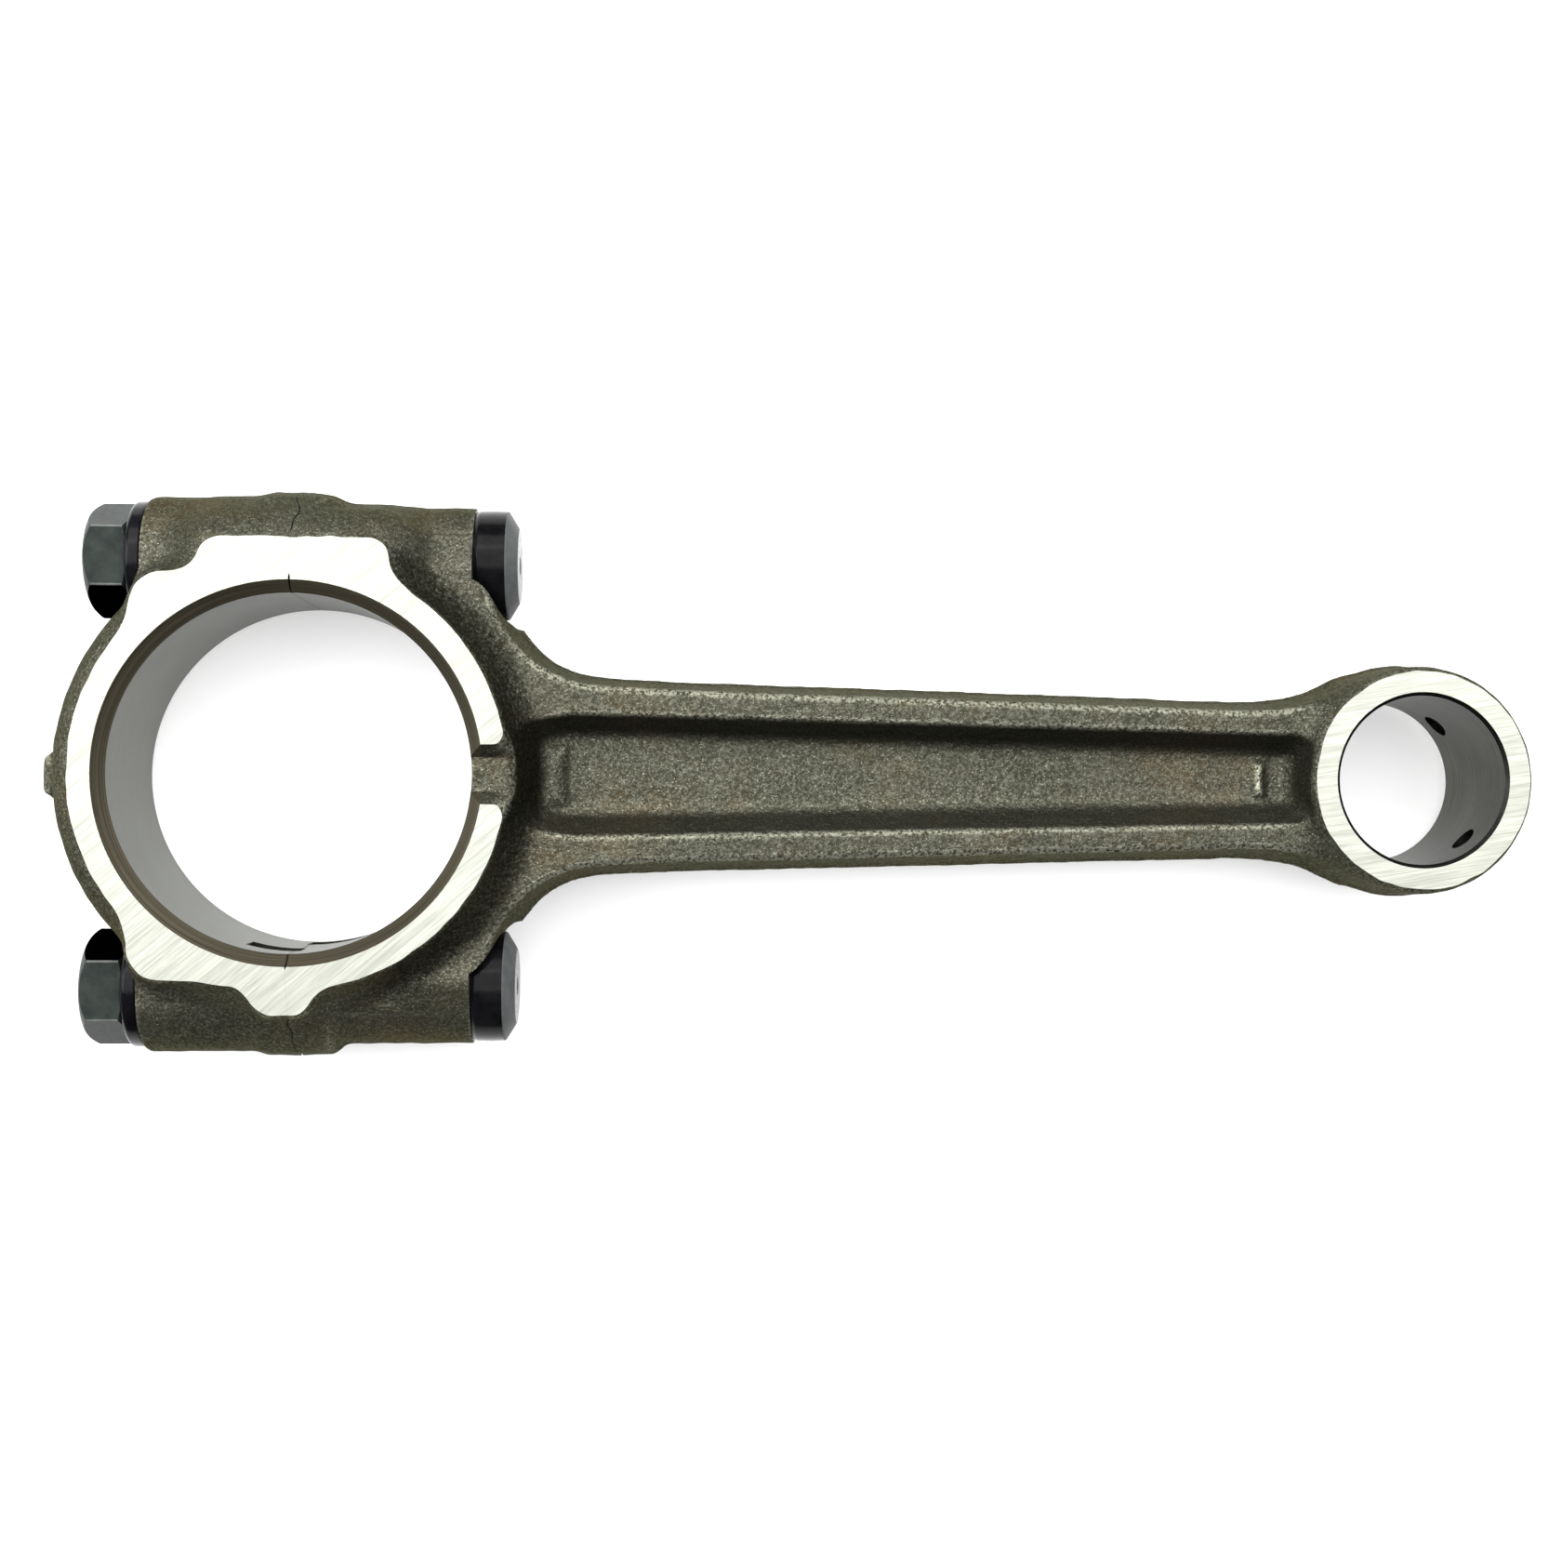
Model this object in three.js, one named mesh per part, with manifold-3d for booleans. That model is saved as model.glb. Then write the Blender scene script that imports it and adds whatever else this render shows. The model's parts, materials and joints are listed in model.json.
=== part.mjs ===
// Connecting rod of a small four-stroke engine: a forged rod and bearing cap,
// held together by two fitted bolts with thick washers and hexagon nuts.
//
// Millimetres, +Z up. The origin is the centre of the crankpin bore, halfway
// through its width; +X runs along the shank to the gudgeon pin bore, and both
// bores run along Z. Everything is symmetric about Z = 0 apart from the shell
// tang slots and the oil holes.

import * as THREE from 'three';
import { mergeVertices } from 'three/addons/utils/BufferGeometryUtils.js';
import Module from 'manifold-3d';

const wasm = await Module();
wasm.setup();

// ---- driving dimensions ----------------------------------------------------

const CENTRE_DISTANCE = 145;
const GAP = 0.3; // left between faces that touch on the real assembly
const OVER = 1; // how far a cutter runs past the face that it cuts

const BIG_END = {
  width: 25, bore: 45, chamfer: 1.5,
  faceRadius: 27.1, // edge of the ground side face
  crownGrowth: 3.7, // how much further out the forged rim stands at mid width
};

// Full-width parts of the big end beside its ring: each one's side face as
// x0, x1, y0, y1 and corner radius, and how far its rim grows outwards.
const BIG_END_PLATES = [
  { face: [-19.6, 4, -25.6, 25.2, 4], growth: 1.2 }, // the cap's shoulders
  { face: [-11.4, 12.6, 12, 29.3, 3.5], growth: 6 }, // the wide lug above
  { face: [-4.4, 3, 12, 29.6, 3], growth: 6.6 }, // its raised middle
  { face: [-5, 3.6, -29.8, -12, 3], growth: 6.6 }, // the narrow lug below
];

// A nub on the crown of the cap, and the notch in each side face over the shank.
const NUB = { height: 1.2, root: 3, low: -1.6, high: 1.2, halfWidth: 4, round: 1.6, growth: 1 };
const NOTCH = { near: 21.5, far: 30, halfHeight: 3.6, depth: 1.8 };

// Slots that the bearing shells' tangs drop into, one on each side of the joint.
const TANG = {
  depth: 1.1,
  slots: [{ x: [-6.2, 1], z: [1.6, 6.2] }, { x: [-1, 6.8], z: [-9.6, -5] }],
};

const SMALL_END = {
  width: 20, bore: 22, chamfer: 0.5,
  faceRadius: 14.2, growth: 0.9,
};

// Drilled through the small end's wall, away from the shank.
const OIL = {
  diameter: 3.6, angle: Math.PI / 4, from: 8, to: 18,
  holes: [{ side: 1, z: -5.2 }, { side: -1, z: 4 }],
};

const JOINT = {
  boltOffset: 27.5, // bolt axis to rod centre line
  capSeat: -19.4, // faces that the washers and the bolt heads sit on
  rodSeat: 22,
  capBarrel: 8.2, rodBarrel: 7.6, // radius of the boss around each bolt
  capSpotFace: 8.6, rodSpotFace: 7.7,
  spotReach: 14, // how far the spot facing cutters clear the forging
  bossDepth: 12, // how far each boss reaches in towards the ring
  hole: 8 + 2 * GAP,
};

const SHANK = {
  halfWidth: 7.5, // flange edges, along Z
  web: 2, // half the web's thickness
  start: 45, // where the taper's half heights are given
  flangeHalf: 10.85, flangeTaper: 0.031,
  floorHalf: 4.75, floorTaper: 0.021,
  cornerRound: 3, cornerGrowth: 1.6,
  pocketNear: 31.5, pocketFar: 125.5, pocketDraft: 2.8,
};

const BOLT = {
  diameter: 8, headRadius: 7.15, headHeight: 5.6, tip: -26.9, tipChamfer: 0.8,
  neckDepth: 0.5, neckWidth: 0.5, endTaper: 2.6, endLength: 1.7, edge: 0.4,
};
const WASHER = { radius: 7.75, thickness: 1.8, edge: 0.5 };
const NUT = { acrossFlats: 13, height: 5.5, domeTaper: 1.7, domeLength: 1.5, edge: 0.9 };

const FINE = 72; // facets round a bore
const ROUND = 32; // facets round a bolt

// ---- materials -------------------------------------------------------------

const forged = () => new THREE.MeshStandardMaterial({
  color: 0x66655a, roughness: 0.6, metalness: 0.7,
});
const blackened = () => new THREE.MeshStandardMaterial({
  color: 0x1a1c1e, roughness: 0.35, metalness: 0.6,
});

// ---- solids ----------------------------------------------------------------

function solid(geometry) {
  const bare = geometry.index ? geometry.toNonIndexed() : geometry.clone();
  bare.deleteAttribute('normal');
  bare.deleteAttribute('uv');
  const merged = mergeVertices(bare, 1e-4);
  const index = merged.index.array;
  const triangles = [];
  for (let i = 0; i < index.length; i += 3) {
    const [a, b, c] = [index[i], index[i + 1], index[i + 2]];
    if (a !== b && b !== c && c !== a) triangles.push(a, b, c);
  }
  return new wasm.Manifold(new wasm.Mesh({
    numProp: 3,
    vertProperties: new Float32Array(merged.attributes.position.array),
    triVerts: new Uint32Array(triangles),
  }));
}

function geometryOf(manifold) {
  const mesh = manifold.getMesh();
  const geometry = new THREE.BufferGeometry();
  geometry.setAttribute('position', new THREE.BufferAttribute(mesh.vertProperties, 3));
  geometry.setIndex(new THREE.BufferAttribute(mesh.triVerts, 1));
  geometry.computeVertexNormals();
  return geometry;
}

function joined(pieces) {
  return pieces.reduce((whole, piece) => whole.add(piece));
}

function cut(body, tools) {
  return tools.reduce((rest, tool) => rest.subtract(tool), body);
}

function box(x0, x1, y0, y1, z0, z1) {
  const geometry = new THREE.BoxGeometry(x1 - x0, y1 - y0, z1 - z0);
  geometry.translate((x0 + x1) / 2, (y0 + y1) / 2, (z0 + z1) / 2);
  return solid(geometry);
}

// A turned shape: profile pairs are [radius, distance along the axis].
function turned(profile, segments) {
  const points = profile.map(([radius, along]) => new THREE.Vector2(radius, along));
  return new THREE.LatheGeometry(points, segments);
}

function turnedAlongZ(profile, x, segments = FINE) {
  const geometry = turned(profile, segments);
  geometry.rotateX(Math.PI / 2);
  geometry.translate(x, 0, 0);
  return solid(geometry);
}

function turnedAlongX(profile, y, segments = ROUND) {
  const geometry = turned(profile, segments);
  geometry.rotateZ(-Math.PI / 2);
  geometry.translate(0, y, 0);
  return solid(geometry);
}

function rodAlongX(radius, x0, x1, y) {
  return turnedAlongX([[0, x0], [radius, x0], [radius, x1], [0, x1]], y);
}

// A forged plate, symmetric about Z = 0: the outline is its flat side face,
// and its rim grows outwards in a quarter ellipse towards mid width.
function forgedPlate(outline, halfWidth, roundDepth, growth, curveSegments = 12) {
  const geometry = new THREE.ExtrudeGeometry(outline, {
    depth: 2 * (halfWidth - roundDepth),
    bevelEnabled: true, bevelThickness: roundDepth, bevelSize: growth,
    bevelSegments: 4, curveSegments,
  });
  geometry.translate(0, 0, -(halfWidth - roundDepth));
  return solid(geometry);
}

// ---- outlines --------------------------------------------------------------

function circle(x, y, radius) {
  const shape = new THREE.Shape();
  shape.absarc(x, y, radius, 0, 2 * Math.PI, false);
  return shape;
}

function roundedRectangle(x0, x1, y0, y1, radius) {
  const shape = new THREE.Shape();
  shape.moveTo(x0 + radius, y0);
  shape.absarc(x1 - radius, y0 + radius, radius, -Math.PI / 2, 0, false);
  shape.absarc(x1 - radius, y1 - radius, radius, 0, Math.PI / 2, false);
  shape.absarc(x0 + radius, y1 - radius, radius, Math.PI / 2, Math.PI, false);
  shape.absarc(x0 + radius, y0 + radius, radius, Math.PI, 1.5 * Math.PI, false);
  return shape;
}

// The shank tapers to the small end: half heights of the flanges' flat edges
// and of the pocket's floor.
const flangeHalf = (x) => SHANK.flangeHalf - SHANK.flangeTaper * (x - SHANK.start);
const floorHalf = (x) => SHANK.floorHalf - SHANK.floorTaper * (x - SHANK.start);

// A closed outline from the points of its upper side and their mirror image.
function mirroredOutline(upper) {
  const lower = upper.map(([x, y]) => [x, -y]);
  const points = [...lower, ...upper.reverse()];
  return new THREE.Shape(points.map(([x, y]) => new THREE.Vector2(x, y)));
}

function shankOutline() {
  return mirroredOutline([
    [15, 20], [24.4, 20], [26, 18.6], [28.4, 15.3], [31.8, 12.9], [36, 11.5],
    [45, flangeHalf(45)], [122, flangeHalf(122)], [128, flangeHalf(128) + 0.7],
    [133, 10.8], [137, 12.2],
  ]);
}

function pocketOutline() {
  const { pocketNear: near, pocketFar: far } = SHANK;
  return mirroredOutline([[near, floorHalf(near)], [far, floorHalf(far)]]);
}

// ---- the forging, before it is machined ------------------------------------

// The ends of the ranges overlap at the joint, so that the two bosses join.
function boltBosses(side) {
  const y = side * JOINT.boltOffset;
  const inner = y - side * JOINT.bossDepth;
  const [low, high] = [Math.min(y, inner), Math.max(y, inner)];
  const overlap = OVER / 2;
  const rows = [
    [JOINT.capBarrel, JOINT.capSeat, overlap],
    [JOINT.rodBarrel, -overlap, JOINT.rodSeat],
  ];
  return rows.flatMap(([radius, x0, x1]) => [
    rodAlongX(radius, x0, x1, y),
    box(x0, x1, low, high, -radius, radius),
  ]);
}

function bigEndBlank() {
  const half = BIG_END.width / 2;
  const plate = (outline, growth) => forgedPlate(outline, half, half - 1, growth);
  return joined([
    plate(circle(0, 0, BIG_END.faceRadius), BIG_END.crownGrowth),
    ...BIG_END_PLATES.map(({ face, growth }) => plate(roundedRectangle(...face), growth)),
    ...boltBosses(-1), ...boltBosses(1),
  ]);
}

function crownNub() {
  const crown = -BIG_END.faceRadius - BIG_END.crownGrowth;
  const outline = roundedRectangle(crown - NUB.height, crown + NUB.root, NUB.low, NUB.high, 1);
  return forgedPlate(outline, NUB.halfWidth, NUB.round, NUB.growth);
}

function shankBlank() {
  const { halfWidth, cornerRound, cornerGrowth } = SHANK;
  return forgedPlate(shankOutline(), halfWidth, cornerRound, cornerGrowth);
}

function smallEndBlank() {
  const half = SMALL_END.width / 2;
  const outline = circle(CENTRE_DISTANCE, 0, SMALL_END.faceRadius);
  return forgedPlate(outline, half, half - 1, SMALL_END.growth);
}

// The long hollow on one side of the shank; its walls lean out from the web.
function pocket(side) {
  const geometry = new THREE.ExtrudeGeometry(pocketOutline(), {
    depth: OVER, bevelEnabled: true, bevelThickness: SHANK.halfWidth - SHANK.web,
    bevelSize: SHANK.pocketDraft, bevelSegments: 3,
  });
  geometry.translate(0, 0, SHANK.halfWidth);
  if (side < 0) geometry.rotateX(Math.PI);
  return solid(geometry);
}

// ---- machining -------------------------------------------------------------

function chamferedBore({ width, bore, chamfer }, x) {
  const [half, radius] = [width / 2, bore / 2];
  return turnedAlongZ([
    [0, -half - OVER], [radius + chamfer + OVER, -half - OVER],
    [radius, -half + chamfer], [radius, half - chamfer],
    [radius + chamfer + OVER, half + OVER], [0, half + OVER],
  ], x);
}

function boltCuts(side) {
  const { capSeat, rodSeat, spotReach } = JOINT;
  const y = side * JOINT.boltOffset;
  return [
    rodAlongX(JOINT.hole / 2, capSeat - OVER, rodSeat + OVER, y),
    rodAlongX(JOINT.capSpotFace, capSeat - spotReach, capSeat, y),
    rodAlongX(JOINT.rodSpotFace, rodSeat, rodSeat + spotReach, y),
  ];
}

function tangSlots() {
  const wall = -BIG_END.bore / 2;
  return TANG.slots.map(({ x, z }) => box(...x, wall - TANG.depth, wall + OVER, ...z));
}

function faceNotch(side) {
  const half = BIG_END.width / 2;
  const [low, high] = [half - NOTCH.depth, half + OVER].map((z) => side * z).sort((a, b) => a - b);
  return box(NOTCH.near, NOTCH.far, -NOTCH.halfHeight, NOTCH.halfHeight, low, high);
}

function oilHole({ side, z }) {
  const radius = OIL.diameter / 2;
  const geometry = turned([[0, OIL.from], [radius, OIL.from], [radius, OIL.to], [0, OIL.to]], 16);
  geometry.rotateZ(-Math.PI / 2 + side * OIL.angle);
  geometry.translate(CENTRE_DISTANCE, 0, z);
  return solid(geometry);
}

// ---- the two halves --------------------------------------------------------

function machinedForging() {
  const blank = joined([
    bigEndBlank(), crownNub(), cut(shankBlank(), [pocket(1), pocket(-1)]), smallEndBlank(),
  ]);
  return cut(blank, [
    chamferedBore(BIG_END, 0), chamferedBore(SMALL_END, CENTRE_DISTANCE),
    ...boltCuts(1), ...boltCuts(-1), ...tangSlots(), faceNotch(1), faceNotch(-1),
    ...OIL.holes.map(oilHole),
  ]);
}

function split(forging) {
  const far = 2 * CENTRE_DISTANCE;
  return {
    cap: forging.intersect(box(-far, -GAP / 2, -far, far, -far, far)),
    rod: forging.intersect(box(GAP / 2, far, -far, far, -far, far)),
  };
}

// ---- fasteners, along X ----------------------------------------------------

function bolt(y) {
  const { headRadius, tip, tipChamfer, neckDepth, neckWidth, endTaper, endLength, edge } = BOLT;
  const [seat, radius] = [JOINT.rodSeat + GAP, BOLT.diameter / 2];
  const top = seat + BOLT.headHeight;
  const [neck, end] = [headRadius - neckDepth, headRadius - endTaper];
  return turnedAlongX([
    [0, tip], [radius - tipChamfer, tip], [radius, tip + tipChamfer], [radius, seat],
    [neck, seat], [neck, seat + neckWidth], [headRadius, seat + neckWidth + edge],
    [headRadius, top - endLength], [end, top - edge / 2], [end - edge, top], [0, top],
  ], y);
}

function washer(y) {
  const { radius, thickness, edge } = WASHER;
  const near = JOINT.capSeat - GAP;
  const far = near - thickness;
  const hole = JOINT.hole / 2;
  return turnedAlongX([
    [hole, far], [radius - edge, far], [radius, far + edge],
    [radius, near - edge], [radius - edge, near], [hole, near], [hole, far],
  ], y);
}

function nut(y) {
  const { acrossFlats, height } = NUT;
  const near = JOINT.capSeat - 2 * GAP - WASHER.thickness;
  const far = near - height;
  const corner = acrossFlats / Math.sqrt(3);
  // thetaStart puts a corner at the top, so a flat faces Z
  const hexagon = new THREE.CylinderGeometry(corner, corner, height, 6, 1, false, Math.PI / 2);
  hexagon.rotateZ(Math.PI / 2);
  hexagon.translate((near + far) / 2, y, 0);
  const turnedOff = turnedAlongX([
    [0, far], [corner - NUT.domeTaper, far], [corner, far + NUT.domeLength],
    [corner, near - NUT.edge / 2], [corner - NUT.edge, near], [0, near],
  ], y);
  const hole = rodAlongX(JOINT.hole / 2, far - OVER, near + OVER, y);
  return solid(hexagon).intersect(turnedOff).subtract(hole);
}

// ---- the assembly ----------------------------------------------------------

function node(name, manifold, material) {
  const mesh = new THREE.Mesh(geometryOf(manifold), material);
  mesh.name = name;
  return mesh;
}

const { cap, rod } = split(machinedForging());
const connectingRod = new THREE.Group();
connectingRod.add(node('rod_forging', rod, forged()));
connectingRod.add(node('bearing_cap', cap, forged()));
['upper', 'lower'].forEach((place, i) => {
  const y = (i === 0 ? 1 : -1) * JOINT.boltOffset;
  connectingRod.add(node(`rod_bolt_${place}`, bolt(y), blackened()));
  connectingRod.add(node(`washer_${place}`, washer(y), blackened()));
  connectingRod.add(node(`nut_${place}`, nut(y), blackened()));
});

export default connectingRod;
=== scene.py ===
import json
import math

import bpy
import numpy as np
from mathutils import Euler, Matrix, Vector


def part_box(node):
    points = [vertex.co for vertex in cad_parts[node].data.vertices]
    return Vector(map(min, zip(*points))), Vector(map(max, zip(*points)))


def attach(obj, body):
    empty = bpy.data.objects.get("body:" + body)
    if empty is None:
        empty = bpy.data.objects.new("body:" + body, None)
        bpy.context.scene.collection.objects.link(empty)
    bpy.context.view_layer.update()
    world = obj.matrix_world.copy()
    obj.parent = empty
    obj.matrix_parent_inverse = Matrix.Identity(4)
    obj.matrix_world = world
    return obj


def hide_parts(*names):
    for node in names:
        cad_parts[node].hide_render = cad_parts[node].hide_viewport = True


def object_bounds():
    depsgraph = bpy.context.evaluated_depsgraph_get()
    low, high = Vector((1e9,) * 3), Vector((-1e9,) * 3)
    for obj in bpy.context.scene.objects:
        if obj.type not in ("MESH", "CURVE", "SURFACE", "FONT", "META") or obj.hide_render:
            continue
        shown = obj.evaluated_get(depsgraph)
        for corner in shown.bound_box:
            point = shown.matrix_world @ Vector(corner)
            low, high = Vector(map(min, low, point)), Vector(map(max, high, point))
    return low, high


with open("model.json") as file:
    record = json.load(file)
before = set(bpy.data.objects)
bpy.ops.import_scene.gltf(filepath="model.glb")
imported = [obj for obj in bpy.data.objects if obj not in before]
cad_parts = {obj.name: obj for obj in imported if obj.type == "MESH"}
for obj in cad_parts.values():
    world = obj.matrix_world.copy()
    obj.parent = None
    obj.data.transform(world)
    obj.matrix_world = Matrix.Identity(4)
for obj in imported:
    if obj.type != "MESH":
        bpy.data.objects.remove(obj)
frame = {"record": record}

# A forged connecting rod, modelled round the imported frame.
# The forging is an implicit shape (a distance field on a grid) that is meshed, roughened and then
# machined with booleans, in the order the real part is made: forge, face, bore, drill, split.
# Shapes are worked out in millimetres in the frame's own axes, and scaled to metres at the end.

CAD_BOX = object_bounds()
MM = 0.001

# ---- sizes, in millimetres ----------------------------------------------------------------------


def mount(name):
    found = next(m for m in frame["record"]["mounts"] if m["name"] == name)
    return [value / MM for value in found["pos_m"]]


def node_box(name):
    low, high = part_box(name)
    return [value / MM for value in low], [value / MM for value in high]


def opening_centre(name):
    found = next(o for o in frame["record"]["physics"]["openings"] if o["name"] == name)
    low, high = found["box_m"]
    return [(a + b) / 2 / MM for a, b in zip(low, high)]


BIG_HALF = mount("big_end_face_front")[2]
SMALL_HALF = mount("small_end_face_front")[2]
PIN_X = opening_centre("gudgeon_pin_space_square")[0]
WASHER_LOW, WASHER_HIGH = node_box("washer_upper")
NUT_LOW, NUT_HIGH = node_box("nut_upper")
BOLT_LOW, BOLT_HIGH = node_box("rod_bolt_upper")
BOLT_Y = (WASHER_LOW[1] + WASHER_HIGH[1]) / 2
CAD_GAP = 0.3            # the CAD model leaves this between faces that touch
CAP_SEAT = WASHER_HIGH[0] + CAD_GAP
ROD_SEAT = 22.0

CRANK_BORE = 22.5        # radii
CRANK_CHAMFER = 1.5
PIN_BORE = 11.0
PIN_CHAMFER = 0.45
BOLT_RADIUS = 4.0
HOLE_RADIUS = 4.12
CAP_BARREL, ROD_BARREL = 8.15, 7.2
CAP_SPOT, ROD_SPOT = 8.6, 8.5
OIL_HOLE_RADIUS = 1.8
SPLIT_GAP = 0.24         # width of the crack on the forged skin; it closes at the ground faces
THREAD_PITCH = 1.0
THREAD_DEPTH = 0.58

# the forging's parts in plan, each (x0, x1, y0, y1, corner radius)
SHOULDERS = (-21.2, 6, -27.4, 26.6, 6)
UPPER_LUG = (-16.2, 17.4, 5, 34.5, 7.5)
LOWER_LUG = (-5.3, 4.2, -31.2, -5, 3.6)
UPPER_PAD = (-5.1, 4.2, 20, BOLT_Y + 8.35, 1.5)
CAP_NUB = (-32.7, -27, -3.2, 2.7, 1.2)
RING_RADIUS = 30.55      # on the cap's side; it swells by RING_SWELL towards the rod
RING_SWELL = 1.6
EYE_RADIUS = 15.25       # the small end's
LOWER_BAND_RADIUS = 8.6
FORGED_ALLOWANCE = 0.7   # what the big end's faces lose when they are ground
SHANK_HALF = 7.6
WEB_HALF = 2.0
RAISED_ENDS = ((29.9, 35.3, 5.3), (123.4, 127.6, 3.6))    # x0, x1, half width

# cuts in the bores' walls
TANG_SLOTS = ((-6.2, 0.6, 1.6, 6.2), (-0.6, 6.8, -9.6, -5.0))    # x0, x1, z0, z1
OIL_HOLES = ((1, -5.2), (-1, 4.0))                               # side, z

# ---- the forging as a distance field ------------------------------------------------------------

VOXEL = 0.36
XS = np.arange(-35.5, PIN_X + 17.5, VOXEL, dtype=np.float32)
YS = np.arange(-38.5, 38.6, VOXEL, dtype=np.float32)
ZS = np.arange(0, 15.5, VOXEL, dtype=np.float32)
PLAN_X, PLAN_Y = XS[:, None], YS[None, :]
UP = ZS[None, None, :]


def arc(x, y, radius, start, end, steps=10):
    """Points on an arc, with its angles in degrees."""
    angles = np.radians(np.linspace(start, end, steps + 1))
    return [(x + radius * math.cos(a), y + radius * math.sin(a)) for a in angles]


def disc(x, y, radius):
    return np.hypot(PLAN_X - x, PLAN_Y - y) - radius


def outline(points):
    """Distance outside a closed outline, over the plan grid; negative inside it."""
    nearest = np.full((len(XS), len(YS)), np.inf, dtype=np.float32)
    inside = np.zeros(nearest.shape, dtype=bool)
    for (ax, ay), (bx, by) in zip(points, points[1:] + points[:1]):
        ex, ey = bx - ax, by - ay
        along = ((PLAN_X - ax) * ex + (PLAN_Y - ay) * ey) / (ex * ex + ey * ey + 1e-12)
        along = np.clip(along, 0, 1)
        away = np.hypot(PLAN_X - ax - along * ex, PLAN_Y - ay - along * ey)
        nearest = np.minimum(nearest, away)
        if ay != by:
            crosses = ((ay > PLAN_Y) != (by > PLAN_Y)) & (PLAN_X < ax + (PLAN_Y - ay) * ex / ey)
            inside ^= crosses
    return np.where(inside, -nearest, nearest)


def rounded_box(x0, x1, y0, y1, radius):
    qx = np.abs(PLAN_X - (x0 + x1) / 2) - (x1 - x0) / 2 + radius
    qy = np.abs(PLAN_Y - (y0 + y1) / 2) - (y1 - y0) / 2 + radius
    return np.minimum(np.maximum(qx, qy), 0) + np.hypot(np.maximum(qx, 0), np.maximum(qy, 0)) - radius


def plate(plan, half, corner, draft=0.1):
    """A forged plate: plan is its outline at mid width, and its sides lean in by the draft."""
    side = plan[:, :, None] + corner + draft * UP
    top = UP - half + corner
    away = np.hypot(np.maximum(side, 0), np.maximum(top, 0))
    return np.minimum(np.maximum(side, top), 0) + away - corner


def barrel(y, radius, x0, x1, corner=1.2):
    """The round boss about a bolt, with rounded ends."""
    side = np.sqrt((PLAN_Y - y)[:, :, None] ** 2 + UP ** 2) - radius + corner
    end = (np.abs(PLAN_X - (x0 + x1) / 2) - (x1 - x0) / 2 + corner)[:, :, None]
    away = np.hypot(np.maximum(side, 0), np.maximum(end, 0))
    return np.minimum(np.maximum(side, end), 0) + away - corner


def fused(a, b, fillet):
    """Joins two shapes with a fillet of about that size."""
    reach = np.maximum(fillet - np.abs(a - b), 0)
    return np.minimum(a, b) - reach * reach / (4 * fillet)


def carved(a, b, fillet):
    """Takes b out of a, rounding the edge that this leaves."""
    reach = np.maximum(fillet - np.abs(a + b), 0)
    return np.maximum(a, -b) + reach * reach / (4 * fillet)


def big_end_field():
    """The ring, its shoulders and lugs, and the bosses round the bolts."""
    tall = BIG_HALF + FORGED_ALLOWANCE
    # the cap's side of the ring is crowned, and the rod's side slopes down to the shank
    sloped = np.clip((PLAN_X + 9) / 13, 0, 1)
    sloped = (sloped * sloped * (3 - 2 * sloped))[:, :, None]
    ring_plan = disc(0, 0, RING_RADIUS + RING_SWELL * sloped[:, :, 0])
    field = plate(ring_plan, tall, 5 - 3.7 * sloped, 0.1 + 0.3 * sloped)
    field = fused(field, plate(rounded_box(*SHOULDERS), tall, 2), 1.5)
    # lugs across the joint: wide above, narrow below
    field = fused(field, plate(rounded_box(*UPPER_LUG), tall, 7), 2.2)
    field = fused(field, plate(rounded_box(*LOWER_LUG), tall, 2.2, 0.05), 2.6)
    for side in (-1, 1):
        y = side * BOLT_Y
        field = fused(field, barrel(y, CAP_BARREL, CAP_SEAT - 0.9, 1), 3.0)
        field = fused(field, barrel(y, ROD_BARREL, -1, ROD_SEAT + 0.8), 2.0)
    # raised over the joint: a flat pad above, a round band below
    field = fused(field, plate(rounded_box(*UPPER_PAD), 10, 6.5), 2.4)
    return fused(field, barrel(-BOLT_Y, LOWER_BAND_RADIUS, -5.3, 4.9, 1.4), 1.2)


def shoulder_outline():
    """Half of the shank's forged outline, from the bolt boss to the small end."""
    sweep = arc(39.4, 27.3, 14.6, 207, 268, 10)
    edge = [(48, 12.25), (85, 11.3), (122, 10.25)]
    flare = [(126.5, 10.4), (130, 10.9), (133, 11.5), (137, 12.6)]
    return sweep + edge + flare


def shank_field():
    upper = [(14, 28), (23.5, 28), (25.9, 22)] + shoulder_outline()
    points = upper + [(x, -y) for x, y in reversed(upper)]
    body = plate(outline(points), SHANK_HALF, 0.8, 0.17)
    floor = [(20, 3.7), (28, 4.0), (35, 5.0), (48, 4.75), (112, 3.4), (140, 2.8)]
    # the pocket's upper wall is steeper than its lower one
    lean_upper, lean_lower = 0.37, 0.5
    wider = (lean_lower - lean_upper) * (SHANK_HALF - WEB_HALF)
    upper_side = [(x, y + wider) for x, y in floor]
    floor_plan = outline(upper_side + [(x, -y) for x, y in reversed(floor)])
    depth = UP - WEB_HALF
    lean = np.where(PLAN_Y > 0, lean_upper, lean_lower)[:, :, None]
    walls = floor_plan[:, :, None] - lean * np.maximum(depth, 0)
    pocket = -fused(-walls, depth, 1.4)
    body = carved(body, pocket, 0.55)
    # the floor rises a little at both ends of the pocket
    for x0, x1, half in RAISED_ENDS:
        step = plate(rounded_box(x0, x1, -half, half, 1.6), WEB_HALF + 1.0, 0.8, 0.6)
        body = fused(body, step, 1.0)
    return body


def small_end_field():
    return plate(disc(PIN_X, 0, EYE_RADIUS), SMALL_HALF + 0.6, 2, 0.05)


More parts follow.
